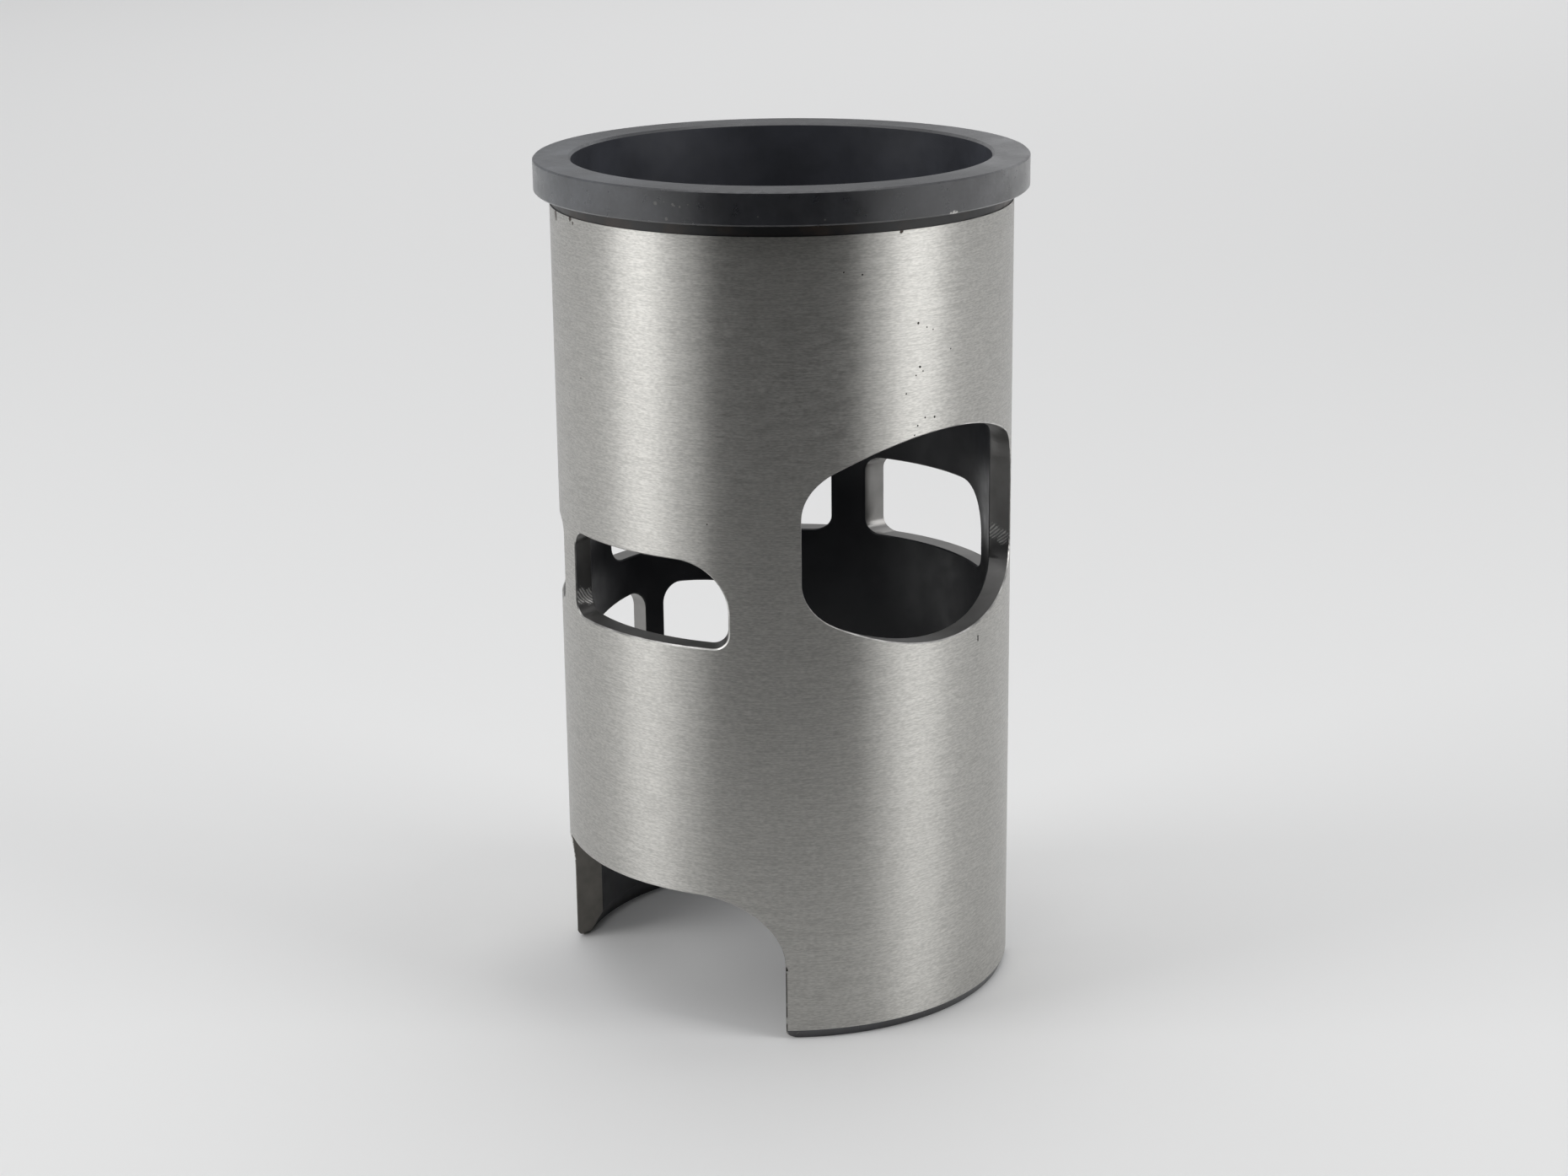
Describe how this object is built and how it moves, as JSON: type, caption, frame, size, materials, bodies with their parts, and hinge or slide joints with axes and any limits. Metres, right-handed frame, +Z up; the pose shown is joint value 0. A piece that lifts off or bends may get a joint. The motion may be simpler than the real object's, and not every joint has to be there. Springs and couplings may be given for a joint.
{
  "type": "cylinder liner",
  "caption": "Cast iron two-stroke cylinder liner: a flanged, ground sleeve with an arched exhaust port, transfer, boost and inlet ports, and a notched skirt.",
  "frame": {"origin": "on the bore's axis, at the bottom of the skirt", "axes": "+Z up the bore towards the flange, -Y towards the exhaust port, ports mirrored about X = 0"},
  "size_m": [0.0778, 0.0778, 0.1348],
  "materials": {
    "cylinder_liner": "ground outside, black phosphate on the flange, relief, bore and skirt chamfers, milled port walls"
  },
  "bodies": {
    "root": {"cylinder_liner": "cylinder_liner"}
  },
  "joints": []
}
